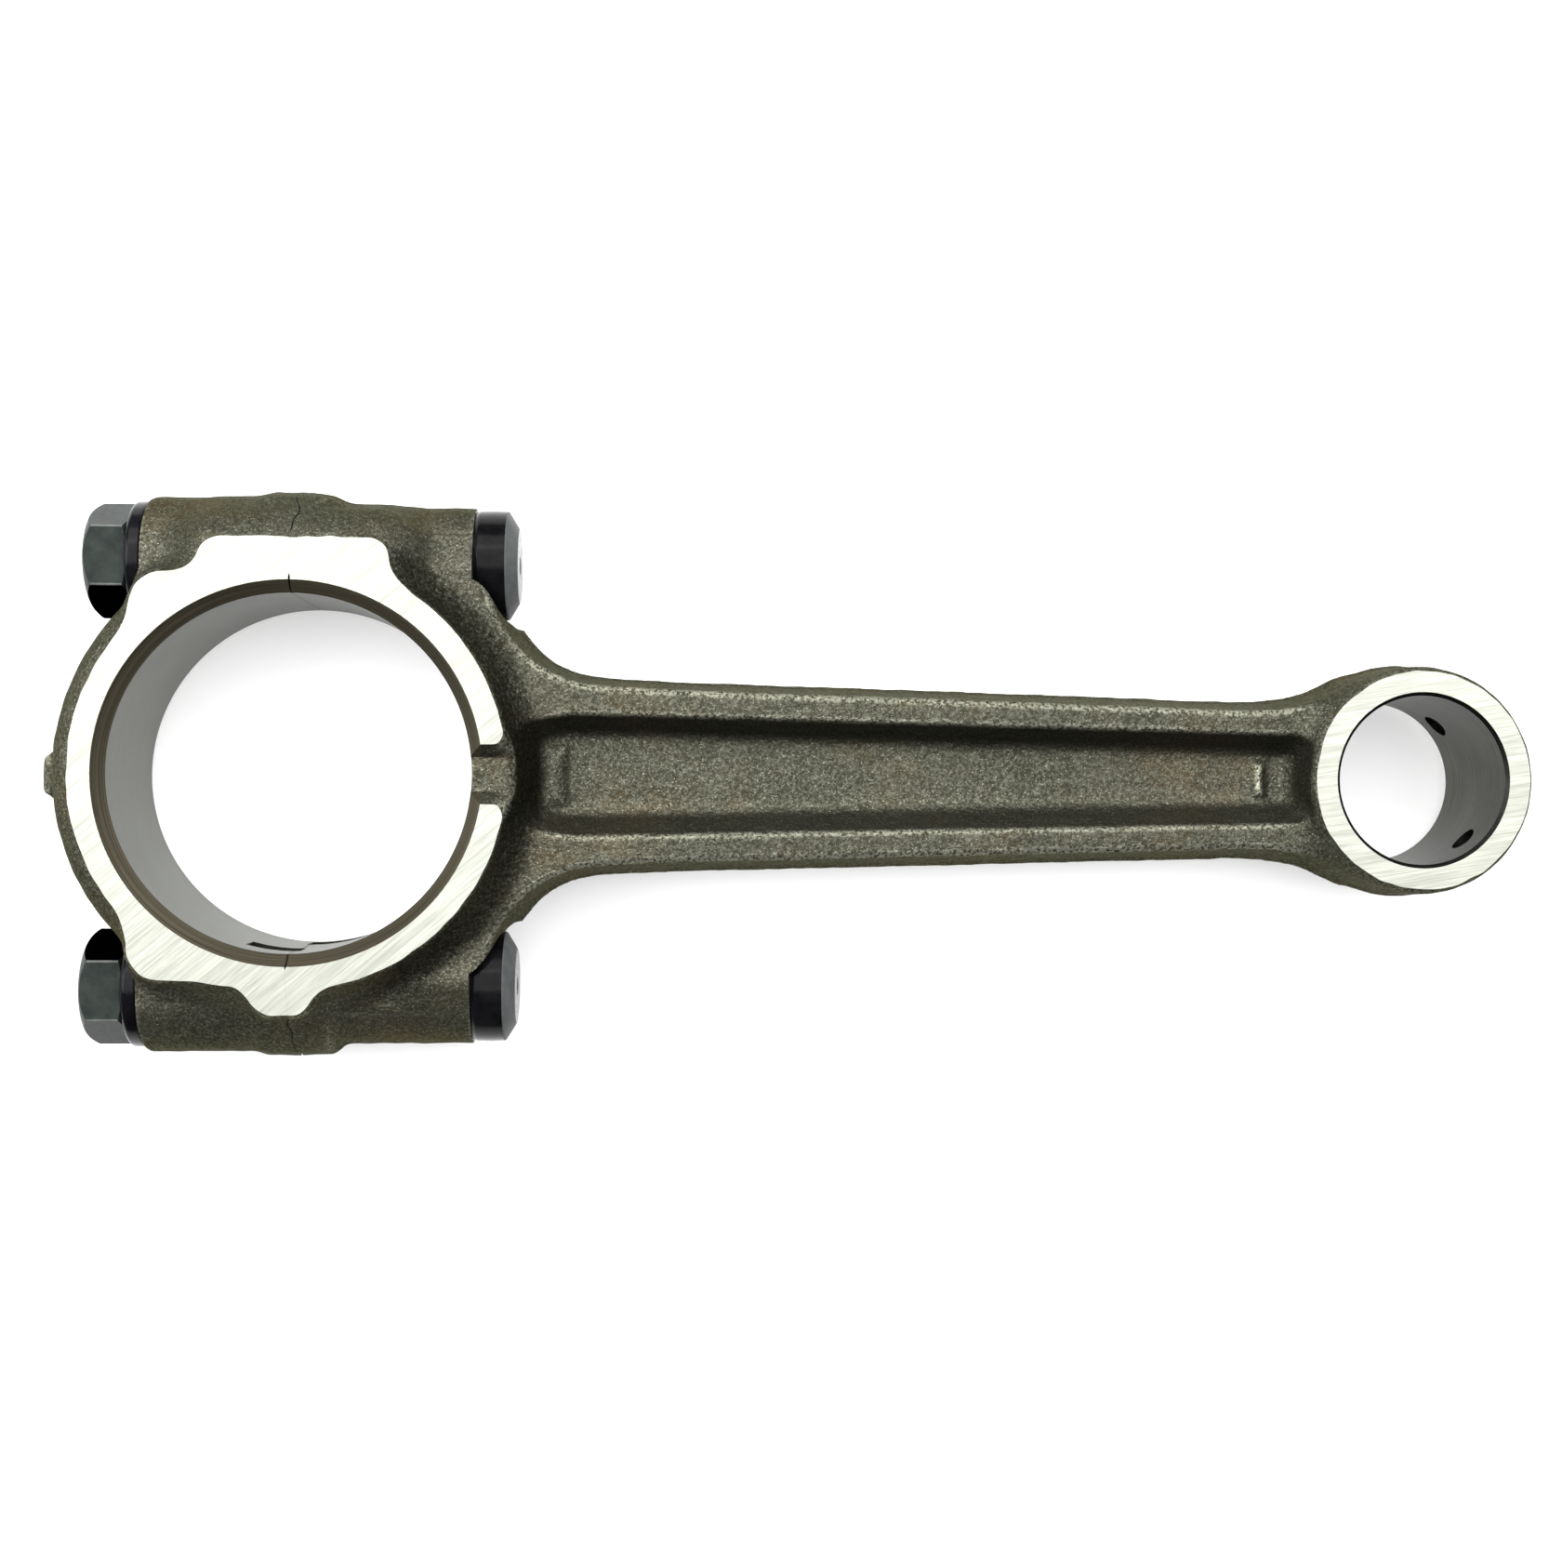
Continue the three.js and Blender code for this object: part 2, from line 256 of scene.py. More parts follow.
def forging_field():
    field = fused(shank_field(), big_end_field(), 3.6)
    field = fused(field, small_end_field(), 3.2)
    field = fused(field, plate(rounded_box(*CAP_NUB), 4.4, 1.5), 1.4)
    field = carved(field, oil_notch_field(), 0.6)
    # the flash line, trimmed to a low ridge round the whole outline
    return field - 0.28 * np.exp(-((UP / 0.7) ** 2))


def oil_notch_field():
    """The notch over the shank. Its sloping sides flare out at the ring's outer edge."""
    floor_height = BIG_HALF - 1.8
    half_width = 2.1
    flare = (0.9 + 0.5 * np.maximum(PLAN_X - 25.4, 0) ** 2)[:, :, None]
    sides = 0.75 * ((np.abs(PLAN_Y) - half_width)[:, :, None] - flare * (UP - floor_height))
    return np.maximum(np.maximum(sides, (21 - PLAN_X)[:, :, None]), floor_height - UP)


# ---- meshing ------------------------------------------------------------------------------------

CORNERS = np.array([(i, j, k) for i in (0, 1) for j in (0, 1) for k in (0, 1)])


def whole(field):
    """The field of the top half, mirrored to both halves."""
    return np.concatenate([field[:, :, :0:-1], field], axis=2)


def grid_origin():
    return np.array((XS[0], YS[0], -ZS[-1]), dtype=np.float64)


def sampled(values, points):
    """The field at any points, in millimetres."""
    place = (points - grid_origin()) / VOXEL
    base = np.clip(place.astype(int), 0, np.array(values.shape) - 2)
    part = place - base
    total = np.zeros(len(points))
    for corner in CORNERS:
        i, j, k = (base + corner).T
        weight = np.prod(np.where(corner, part, 1 - part), axis=1)
        total += weight * values[i, j, k]
    return total


def slope(values, points, step):
    """The field's unit gradient at any points."""
    gradient = np.empty_like(points)
    for axis in range(3):
        shift = np.zeros(3)
        shift[axis] = step
        gradient[:, axis] = sampled(values, points + shift) - sampled(values, points - shift)
    return gradient / np.maximum(np.linalg.norm(gradient, axis=1, keepdims=True), 1e-9)


def surface_net(values):
    """Vertices and quads of the surface where the field is zero."""
    inside = values < 0
    count = np.zeros(tuple(n - 1 for n in values.shape), dtype=np.int8)
    for i, j, k in CORNERS:
        count += inside[i:i + count.shape[0], j:j + count.shape[1], k:k + count.shape[2]]
    cells = np.argwhere((count > 0) & (count < 8))
    number = np.full(count.shape, -1, dtype=np.int64)
    number[tuple(cells.T)] = np.arange(len(cells))
    corner_values = np.stack([values[tuple((cells + c).T)] for c in CORNERS], axis=1)
    total = np.zeros((len(cells), 3))
    hits = np.zeros(len(cells))
    for a in range(8):
        for b in range(a + 1, 8):
            if np.abs(CORNERS[a] - CORNERS[b]).sum() != 1:
                continue
            va, vb = corner_values[:, a], corner_values[:, b]
            crosses = (va < 0) != (vb < 0)
            t = np.where(crosses, va / np.where(crosses, va - vb, 1), 0)
            point = CORNERS[a] + t[:, None] * (CORNERS[b] - CORNERS[a])
            total += np.where(crosses[:, None], point, 0)
            hits += crosses
    points = (cells + total / hits[:, None]) * VOXEL + grid_origin()
    quads = [edge_quads(inside, number, axis) for axis in range(3)]
    return points, np.concatenate(quads)


def edge_quads(inside, number, axis):
    """One quad for each grid edge along an axis that the surface crosses."""
    u, v = (axis + 1) % 3, (axis + 2) % 3
    start = [slice(1, -1)] * 3
    start[axis] = slice(0, -1)
    end = list(start)
    end[axis] = slice(1, None)
    a, b = inside[tuple(start)], inside[tuple(end)]
    edges = np.argwhere(a != b)
    leaving = a[tuple(edges.T)]
    offset = np.ones(3, dtype=int)
    offset[axis] = 0
    edges = edges + offset
    ring = []
    for du, dv in ((-1, -1), (0, -1), (0, 0), (-1, 0)):
        cell = edges.copy()
        cell[:, u] += du
        cell[:, v] += dv
        ring.append(number[tuple(cell.T)])
    quads = np.stack(ring, axis=1)
    quads[~leaving] = quads[~leaving][:, ::-1]
    return quads


def waves(points, wavelength, count, seed):
    """Smooth noise of about that wavelength, from plane waves in random directions."""
    random = np.random.default_rng(seed)
    total = np.zeros(len(points))
    for _ in range(count):
        direction = random.normal(size=3)
        direction /= np.linalg.norm(direction)
        pitch = wavelength * random.uniform(0.7, 1.5)
        phase = random.uniform(0, 2 * math.pi)
        total += np.sin(points @ direction * (2 * math.pi / pitch) + phase)
    return total * math.sqrt(2 / count)


def mesh_object(name, points, faces):
    """An object from vertices and faces of any number of sides."""
    mesh = bpy.data.meshes.new(name)
    points = np.asarray(points, dtype=np.float32)
    sizes = np.array([len(face) for face in faces], dtype=np.int32)
    corners = np.concatenate(faces).astype(np.int32)
    starts = (np.cumsum(sizes) - sizes).astype(np.int32)
    mesh.vertices.add(len(points))
    mesh.vertices.foreach_set("co", points.ravel())
    mesh.loops.add(len(corners))
    mesh.loops.foreach_set("vertex_index", corners)
    mesh.polygons.add(len(sizes))
    mesh.polygons.foreach_set("loop_start", starts)
    mesh.update(calc_edges=True)
    mesh.validate()
    piece = bpy.data.objects.new(name, mesh)
    bpy.context.scene.collection.objects.link(piece)
    return piece


def rough_forging():
    """The forging's mesh with its uneven skin, and the field that it was made from."""
    values = whole(forging_field())
    points, quads = surface_net(values)
    for _ in range(2):
        normal = slope(values, points, VOXEL * 0.5)
        points = points - normal * sampled(values, points)[:, None]
    uneven = 0.018 * waves(points, 9.0, 24, 11) + 0.022 * waves(points, 2.6, 40, 12)
    points = points + normal * uneven[:, None]
    return mesh_object("forging", points, quads), values


# ---- machining ----------------------------------------------------------------------------------


def brick(x0, x1, y0, y1, z0, z1):
    points = [(x, y, z) for x in (x0, x1) for y in (y0, y1) for z in (z0, z1)]
    faces = [(0, 1, 3, 2), (4, 6, 7, 5), (0, 4, 5, 1), (2, 3, 7, 6), (0, 2, 6, 4), (1, 5, 7, 3)]
    return mesh_object("tool", points, faces)


def turned(profile, segments, name="tool"):
    """A closed solid turned about X. The profile's pairs are (x, radius), from one end to the other;
    a radius of 0 only at the ends."""
    angles = 2 * math.pi * np.arange(segments) / segments
    points = []
    rings = []
    for x, radius in profile:
        if radius == 0:
            rings.append([len(points)] * segments)
            points.append((x, 0, 0))
            continue
        rings.append(list(range(len(points), len(points) + segments)))
        points.extend((x, radius * math.cos(a), radius * math.sin(a)) for a in angles)
    faces = []
    for near, far in zip(rings, rings[1:]):
        for i in range(segments):
            j = (i + 1) % segments
            face = []
            for index in (near[i], near[j], far[j], far[i]):
                if index not in face:
                    face.append(index)
            faces.append(face)
    return mesh_object(name, points, faces)


def placed(piece, matrix):
    piece.data.transform(matrix)
    return piece


def upright(piece, x):
    """Turns a shape made along X to stand along Z at that x."""
    return placed(piece, Matrix.Translation((x, 0, 0)) @ Matrix.Rotation(-math.pi / 2, 4, "Y"))


def at_bolt(piece, side):
    return placed(piece, Matrix.Translation((0, side * BOLT_Y, 0)))


def rod_tool(radius, x0, x1, side, segments=96):
    return at_bolt(turned([(x0, 0), (x0, radius), (x1, radius), (x1, 0)], segments), side)


def boolean(target, tool, operation="DIFFERENCE"):
    modifier = target.modifiers.new("cut", "BOOLEAN")
    modifier.operation = operation
    modifier.object = tool
    modifier.solver = "MANIFOLD"
    depsgraph = bpy.context.evaluated_depsgraph_get()
    result = bpy.data.meshes.new_from_object(target.evaluated_get(depsgraph))
    target.modifiers.clear()
    spent = target.data
    target.data = result
    bpy.data.meshes.remove(spent)
    discard(tool)


def discard(piece):
    mesh = piece.data
    bpy.data.objects.remove(piece)
    bpy.data.meshes.remove(mesh)


def bore_tool(radius, chamfer, half, x):
    over = 1.0
    wide = radius + chamfer + over
    profile = [(-half - over, 0), (-half - over, wide), (-half + chamfer, radius),
               (half - chamfer, radius), (half + over, wide), (half + over, 0)]
    return upright(turned(profile, 256), x)


def split_notch(side):
    """The groove that starts the split, along the bore wall at the joint."""
    inner = side * (CRANK_BORE - 0.3)
    bottom = side * (CRANK_BORE + 0.32)
    ridge = [(-0.24, inner), (0.24, inner), (0, bottom)]
    points = [(x, y, z) for x, y in ridge for z in (-20, 20)]
    faces = [(0, 1, 3, 2), (2, 3, 5, 4), (4, 5, 1, 0), (0, 2, 4), (1, 5, 3)]
    if side < 0:
        faces = [face[::-1] for face in faces]
    return mesh_object("tool", points, faces)


def oil_hole(side, z):
    """A hole through the small end's wall, at 45 degrees to the shank."""
    start, end = PIN_BORE - 3, PIN_BORE + 7
    profile = [(start, 0), (start, OIL_HOLE_RADIUS), (end, OIL_HOLE_RADIUS), (end, 0)]
    angle = side * math.pi / 4
    return placed(turned(profile, 64), Matrix.Translation((PIN_X, 0, z)) @ Matrix.Rotation(angle, 4, "Z"))


def tang_slot(x0, x1, z0, z1):
    """A slot for a bearing shell's tang, in the bore's lower wall."""
    depth = 1.0
    return brick(x0, x1, -CRANK_BORE - depth, -CRANK_BORE + 1.5, z0, z1)


def grind(forging, side, half, x0, x1):
    """Takes one side of the forging down to that half width, between two places on X."""
    reach = 60
    low, high = sorted((side * half, side * (half + 8)))
    boolean(forging, brick(x0, x1, -reach, reach, low, high))


def machine(forging):
    """Grinds the faces, then bores, drills and spot faces, and cuts the slots and oil holes."""
    for side in (-1, 1):
        grind(forging, side, BIG_HALF, -60, 60)
        grind(forging, side, SMALL_HALF, PIN_X - 20, PIN_X + 30)
    boolean(forging, bore_tool(CRANK_BORE, CRANK_CHAMFER, BIG_HALF, 0))
    boolean(forging, bore_tool(PIN_BORE, PIN_CHAMFER, SMALL_HALF, PIN_X))
    for side in (-1, 1):
        boolean(forging, rod_tool(HOLE_RADIUS, CAP_SEAT - 5, ROD_SEAT + 5, side))
        boolean(forging, rod_tool(CAP_SPOT, CAP_SEAT - 16, CAP_SEAT, side))
        boolean(forging, rod_tool(ROD_SPOT, ROD_SEAT, ROD_SEAT + 16, side))
        boolean(forging, split_notch(side))
    for slot in TANG_SLOTS:
        boolean(forging, tang_slot(*slot))
    for side, z in OIL_HOLES:
        boolean(forging, oil_hole(side, z))


def fracture(points, values, shift):
    """X of the broken face at points on the joint's plane, moved by up to the shift where it gapes."""
    _, y, z = np.abs(points).T
    uneven = 0.26 * waves(points, 7.0, 16, 21) + 0.09 * waves(points, 1.7, 24, 22)
    # the crack starts straight at the bore's grooves and at the ground faces
    from_groove = np.abs(y - CRANK_BORE) / 3
    uneven *= np.clip(from_groove, 0.1, 1) * np.clip((BIG_HALF + 1 - z) / 3, 0.12, 1)
    # it gapes only at the forged skin and where it breaks out through the bore's chamfers
    closed = 0.05
    at_skin = np.clip(1 + sampled(values, points) / 1.1, closed, 1)
    at_chamfer = (y < CRANK_BORE + CRANK_CHAMFER + 0.4) & (z > BIG_HALF - 1.7)
    openness = np.where(at_chamfer, 1, np.where(z > BIG_HALF - 0.3, closed, at_skin))
    return uneven + shift * openness


def split_tool(shift, values):
    """Everything on the cap's side of the fracture."""
    step = 0.4
    ys, zs = np.arange(-40, 40.01, step), np.arange(-15, 15.01, step)
    y, z = (grid.ravel() for grid in np.meshgrid(ys, zs, indexing="ij"))
    near = np.stack([np.zeros_like(y), y, z], axis=1)
    back = near - (80, 0, 0)
    near[:, 0] = fracture(near, values, shift)
    total = len(near)
    index = np.arange(total).reshape(len(ys), len(zs))
    cells = (index[:-1, :-1], index[1:, :-1], index[1:, 1:], index[:-1, 1:])
    sheet = np.stack(cells, axis=-1).reshape(-1, 4)
    rim = np.concatenate([index[:, 0], index[-1, 1:], index[-2::-1, -1], index[0, -2:0:-1]])
    following = np.roll(rim, -1)
    walls = np.stack([rim, rim + total, following + total, following], axis=1)
    faces = np.concatenate([sheet, sheet[:, ::-1] + total, walls])
    return mesh_object("tool", np.concatenate([near, back]), faces)


# ---- finishing a mesh ---------------------------------------------------------------------------


def face_data(mesh):
    normals = np.empty(len(mesh.polygons) * 3)
    mesh.polygons.foreach_get("normal", normals)
    centres = np.empty(len(mesh.polygons) * 3)
    mesh.polygons.foreach_get("center", centres)
    return centres.reshape(-1, 3), normals.reshape(-1, 3)


def shade(mesh, degrees=32):
    """Smooth faces, with the edges that are sharper than that angle kept sharp."""
    _, normals = face_data(mesh)
    totals = np.empty(len(mesh.polygons), dtype=np.int32)
    mesh.polygons.foreach_get("loop_total", totals)
    edge = np.empty(len(mesh.loops), dtype=np.int32)
    mesh.loops.foreach_get("edge_index", edge)
    owner = np.repeat(np.arange(len(totals)), totals)
    order = np.argsort(edge, kind="stable")
    pairs = owner[order].reshape(-1, 2)
    bend = np.einsum("ij,ij->i", normals[pairs[:, 0]], normals[pairs[:, 1]])
    kinds = np.empty(len(mesh.polygons), dtype=np.int32)
    mesh.polygons.foreach_get("material_index", kinds)
    differ = kinds[pairs[:, 0]] != kinds[pairs[:, 1]]
    sharp = mesh.attributes.get("sharp_edge") or mesh.attributes.new("sharp_edge", "BOOLEAN", "EDGE")
    sharp.data.foreach_set("value", differ | (bend < math.cos(math.radians(degrees))))
    mesh.polygons.foreach_set("use_smooth", np.ones(len(totals), dtype=bool))


SKIN, GROUND, SMALL_GROUND, BORE, CHAMFER, PIN_WALL, CUT, SHADED_CUT, CRACK = range(9)


def surface_kinds(mesh):
    """Which cut made each face of the forging."""
    centres, normals = face_data(mesh)
    x, y, z = centres.T
    nx, _, nz = normals.T
    kind = np.full(len(x), SKIN)
    big, small = x < 60, x > 100
    flat = np.abs(nz) > 0.9995
    kind[big & flat & (np.abs(np.abs(z) - BIG_HALF) < 0.01)] = GROUND
    kind[small & flat & (np.abs(np.abs(z) - SMALL_HALF) < 0.01)] = SMALL_GROUND
    from_crank = np.hypot(x, y)
    kind[(np.abs(from_crank - CRANK_BORE) < 0.03) & (np.abs(nz) < 0.01)] = BORE
    slanted = (np.abs(nz) > 0.6) & (np.abs(nz) < 0.8) & (np.abs(z) > BIG_HALF - CRANK_CHAMFER - 0.01)
    kind[slanted & (from_crank < CRANK_BORE + CRANK_CHAMFER + 0.01)] = CHAMFER
    from_pin = np.hypot(x - PIN_X, y)
    kind[(from_pin < PIN_BORE + 0.05) & (np.abs(z) < SMALL_HALF - 0.1)] = PIN_WALL
    # painted shade: the pin bore's chamfer, the tang slots and the oil holes take a near-black copy of
    # cut steel
    kind[(from_pin < PIN_BORE + PIN_CHAMFER + 0.02) & (np.abs(nz) > 0.6) & (np.abs(nz) < 0.8)] = SHADED_CUT
    from_bolt = np.hypot(np.abs(y) - BOLT_Y, z)
    kind[(np.abs(from_bolt - HOLE_RADIUS) < 0.02) & (np.abs(nx) < 0.01)] = CUT
    kind[(np.abs(x - CAP_SEAT) < 0.005) & (nx < -0.999)] = CUT
    kind[(np.abs(x - ROD_SEAT) < 0.005) & (nx > 0.999)] = CUT
    kind[(np.abs(from_bolt - CAP_SPOT) < 0.02) & (x < CAP_SEAT) & (np.abs(nx) < 0.01)] = CUT
    kind[(np.abs(from_bolt - ROD_SPOT) < 0.02) & (x > ROD_SEAT) & (np.abs(nx) < 0.01)] = CUT
    slot = (np.abs(x) < 7) & (y > -CRANK_BORE - 1.01) & (y < -CRANK_BORE + 0.6) & (kind == SKIN)
    kind[slot] = SHADED_CUT
    oil = small & (from_pin > PIN_BORE) & (from_pin < 14.5) & (np.abs(y) < 14) & (kind == SKIN)
    kind[oil & (x > PIN_X) & (np.abs(z) < SMALL_HALF - 0.5)] = SHADED_CUT
    kind[(np.abs(x) < 0.8) & (np.abs(nx) > 0.45) & (kind != BORE)] = CRACK
    return kind


def point_data(mesh):
    points = np.empty(len(mesh.vertices) * 3)
    mesh.vertices.foreach_get("co", points)
    return points.reshape(-1, 3)


def store(mesh, name, numbers):
    attribute = mesh.attributes.new(name, "FLOAT", "POINT")
    attribute.data.foreach_set("value", numbers.astype(np.float32))


def add_wear_and_painted_shade(mesh, values):
    """Stores how strongly each point stands out, from 0 in a hollow to 1 on an outer edge, and how much
    painted shade goes on it in the corner between the ring and the shank."""
    points = point_data(mesh)
    reach = 0.9
    around = [sampled(values, points + reach * np.array(step)) for step in
              ((1, 0, 0), (-1, 0, 0), (0, 1, 0), (0, -1, 0), (0, 0, 1), (0, 0, -1))]
    bulge = sum(around) / 6 - sampled(values, points)
    store(mesh, "wear", np.clip(0.5 + bulge * 2.2, 0, 1))
    # painted shade, kept in the attribute named scale: the corner between the ring and the shank is
    # darkened
    from_ring = np.hypot(points[:, 0], points[:, 1])
    scale = np.clip((from_ring - 26.9) / 0.5, 0, 1) * np.clip((31.8 - from_ring) / 1.4, 0, 1)
    store(mesh, "scale", scale * np.clip((points[:, 0] - 6) / 8, 0, 1))


def finish(piece, materials, kinds=None):
    mesh = piece.data
    mesh.materials.clear()
    for material in materials:
        mesh.materials.append(material)
    if kinds is not None:
        mesh.polygons.foreach_set("material_index", kinds.astype(np.int32))
    mesh.transform(Matrix.Scale(MM, 4))
    shade(mesh)
    mesh.update()


# ---- materials ----------------------------------------------------------------------------------


class Nodes:
    """A short way to build a material's node tree."""

    def __init__(self, name):
        self.material = bpy.data.materials.new(name)
        self.material.use_nodes = True
        self.tree = self.material.node_tree
        self.tree.nodes.clear()
        self.shader = self.add("ShaderNodeBsdfPrincipled")
        output = self.add("ShaderNodeOutputMaterial")
        self.link(self.shader.outputs[0], output.inputs[0])
        self.place = self.add("ShaderNodeTexCoord").outputs["Object"]

    def add(self, kind, **values):
        node = self.tree.nodes.new(kind)
        for key, value in values.items():
            setattr(node, key, value)
        return node

    def link(self, source, target):
        self.tree.links.new(source, target)

    def stretched(self, scale, turn=(0, 0, 0)):
        """Coordinates turned first and then scaled along each axis."""
        node = self.add("ShaderNodeMapping", vector_type="TEXTURE")
        node.inputs["Scale"].default_value = [1 / value for value in scale]
        node.inputs["Rotation"].default_value = turn
        self.link(self.place, node.inputs["Vector"])
        return node.outputs[0]

    def noise(self, scale, detail=3.0, rough=0.55, vector=None):
        node = self.add("ShaderNodeTexNoise")
        node.inputs["Scale"].default_value = scale
        node.inputs["Detail"].default_value = detail
        node.inputs["Roughness"].default_value = rough
        self.link(vector or self.place, node.inputs["Vector"])
        return node.outputs["Fac"]

    def remap(self, value, low, high, to_low=0.0, to_high=1.0):
        node = self.add("ShaderNodeMapRange")
        node.inputs["From Min"].default_value = low
        node.inputs["From Max"].default_value = high
        node.inputs["To Min"].default_value = to_low
        node.inputs["To Max"].default_value = to_high
        self.link(value, node.inputs["Value"])
        return node.outputs[0]

    def math(self, operation, a, b):
        node = self.add("ShaderNodeMath", operation=operation)
        for socket, value in zip(node.inputs, (a, b)):
            if isinstance(value, (int, float)):
                socket.default_value = value
            else:
                self.link(value, socket)
        return node.outputs[0]

    def mix(self, amount, a, b):
        node = self.add("ShaderNodeMix", data_type="RGBA")
        self.link(amount, node.inputs[0])
        for socket, value in ((node.inputs[6], a), (node.inputs[7], b)):
            if isinstance(value, tuple):
                socket.default_value = (*value, 1)
            else:
                self.link(value, socket)
        return node.outputs[2]

    def attribute(self, name):
        return self.add("ShaderNodeAttribute", attribute_name=name).outputs["Fac"]

    def bump(self, *layers):
        """Layers of (height, strength, distance in metres), the coarsest first."""
        normal = None
        for height, strength, distance in layers:
            node = self.add("ShaderNodeBump")
            node.inputs["Strength"].default_value = strength
            node.inputs["Distance"].default_value = distance
            self.link(height, node.inputs["Height"])
            if normal is not None:
                self.link(normal, node.inputs["Normal"])
            normal = node.outputs[0]
        self.link(normal, self.shader.inputs["Normal"])

    def color(self, value):
        self.feed("Base Color", value if not isinstance(value, tuple) else (*value, 1))

    def feed(self, name, value):
        socket = self.shader.inputs[name]
        if isinstance(value, (int, float, tuple)):
            socket.default_value = value
        else:
            self.link(value, socket)


def dimmed(colour, brightness):
    return tuple(brightness * value for value in colour)


def forged_skin():
    """Shot-blasted steel: blotches, brown stains, bright grains and worn high spots, and painted shade in
    the corner between the ring and the shank.
    """
    n = Nodes("forged_skin")
    blotch = n.noise(110, 4, 0.6)
    stain = n.noise(75, 5, 0.65)
    grain = n.noise(2300, 3, 0.65)
    speck = n.noise(4600, 2, 0.7)
    base = n.mix(n.remap(blotch, 0.35, 0.65), (0.029, 0.0292, 0.0205), (0.040, 0.039, 0.028))
    base = n.mix(n.remap(stain, 0.50, 0.66, 0, 0.7), base, (0.054, 0.041, 0.022))
    base = n.mix(n.remap(grain, 0.42, 0.68), base, (0.077, 0.077, 0.060))
    base = n.mix(n.remap(speck, 0.62, 0.72), base, (0.24, 0.24, 0.19))
    edge = n.math("MULTIPLY", n.remap(n.attribute("wear"), 0.62, 0.9), n.remap(grain, 0.4, 0.55))
    base = n.mix(edge, base, (0.24, 0.24, 0.19))
    # painted shade: near black where the scale attribute marks the corner beside the ring, broken up by
    # the grain
    scale = n.math("MULTIPLY", n.attribute("scale"), n.remap(grain, 0.35, 0.7, 0.85, 0.4))
    n.color(n.mix(scale, base, (0.007, 0.007, 0.005)))
    n.feed("Metallic", 1.0)
    n.feed("Specular Tint", (0.46, 0.46, 0.40, 1))
    n.feed("Roughness", n.remap(grain, 0.3, 0.7, 0.66, 0.48))
    n.bump((n.noise(750, 3, 0.6), 0.8, 0.00028), (grain, 0.9, 0.00013), (speck, 0.5, 0.00005))
    return n.material


def ground_face(name, degrees, brightness):
    """A face ground in one direction, with fine lines at that angle."""
    n = Nodes(name)
    turn = (0, 0, math.radians(degrees - 90))
    lines = n.noise(1.0, 3, 0.7, n.stretched((5000, 120, 120), turn))
    coarse = n.noise(1.0, 3, 0.6, n.stretched((1500, 50, 50), turn))
    tone = n.math("MULTIPLY", n.remap(lines, 0.38, 0.58), n.remap(coarse, 0.3, 0.6, 0.5, 1))
    dark, light = (dimmed(grey, brightness) for grey in ((0.222, 0.227, 0.197), (0.33, 0.34, 0.295)))
    n.color(n.mix(tone, dark, light))
    n.feed("Metallic", 0.75)
    n.feed("Roughness", n.remap(coarse, 0.3, 0.7, 0.45, 0.33))
    n.bump((coarse, 0.15, 0.00003), (lines, 0.25, 0.00001))
    return n.material


def bored_wall(name, tone, roughness, fineness, darkest, ring_strength):
    """A bore's wall with turning marks round it."""
    n = Nodes(name)
    rings = n.noise(1.0, 2, 0.6, n.stretched((20, 20, fineness)))
    cloud = n.noise(140, 3, 0.5)
    n.color(n.mix(n.remap(n.math("ADD", rings, cloud), 0.7, 1.3), dimmed(tone, darkest), tone))
    n.feed("Metallic", 0.9)
    n.feed("Roughness", roughness)
    n.bump((rings, ring_strength, 0.00005))
    return n.material


def turned_chamfer():
    n = Nodes("turned_chamfer")
    rings = n.noise(1.0, 3, 0.7, n.stretched((30, 30, 9000)))
    n.color(n.mix(n.remap(rings, 0.3, 0.7), (0.036, 0.030, 0.019), (0.125, 0.112, 0.078)))
    n.feed("Metallic", 0.85)
    n.feed("Roughness", 0.38)
    n.bump((rings, 0.35, 0.00003))
    return n.material


def cut_steel(name, brightness):
    n = Nodes(name)
    marks = n.noise(900, 3, 0.6)
    dark, light = (dimmed(tone, brightness) for tone in ((0.12, 0.118, 0.105), (0.23, 0.225, 0.205)))
    n.color(n.mix(n.remap(marks, 0.3, 0.7), dark, light))
    n.feed("Metallic", 0.9)
    n.feed("Roughness", 0.4)
    n.bump((marks, 0.2, 0.00003))
    return n.material


def cracked_steel():
    n = Nodes("cracked_steel")
    grain = n.noise(1600, 4, 0.75)
    n.color(n.mix(n.remap(grain, 0.35, 0.65), (0.05, 0.05, 0.047), (0.20, 0.20, 0.19)))
    n.feed("Metallic", 0.85)
    n.feed("Roughness", 0.55)
    n.bump((n.noise(500, 3, 0.7), 0.7, 0.0003), (grain, 0.6, 0.0001))
    return n.material


def black_oxide(name, low, high, roughness, metal, specular):
    n = Nodes(name)
    cloud = n.noise(420, 4, 0.65)
    fine = n.noise(2600, 2, 0.6)
    n.color(n.mix(n.remap(cloud, 0.35, 0.65), low, high))
    n.feed("Metallic", metal)
    n.feed("Specular IOR Level", specular)
    n.feed("Specular Tint", (0.3, 0.3, 0.3, 1))
    n.feed("Roughness", n.remap(fine, 0.3, 0.7, roughness - 0.05, roughness + 0.08))
    n.bump((cloud, 0.12, 0.00004), (fine, 0.12, 0.00001))
    return n.material


# ---- fasteners ----------------------------------------------------------------------------------


def thread_radius(x, angle, major, depth):
    """Radius of a right-hand thread at a place along X and round it."""
    phase = (x / THREAD_PITCH + angle / (2 * math.pi)) % 1.0
    ramp = abs(2 * phase - 1)
    return major - depth * min(max((ramp - 0.12) / 0.76, 0), 1)


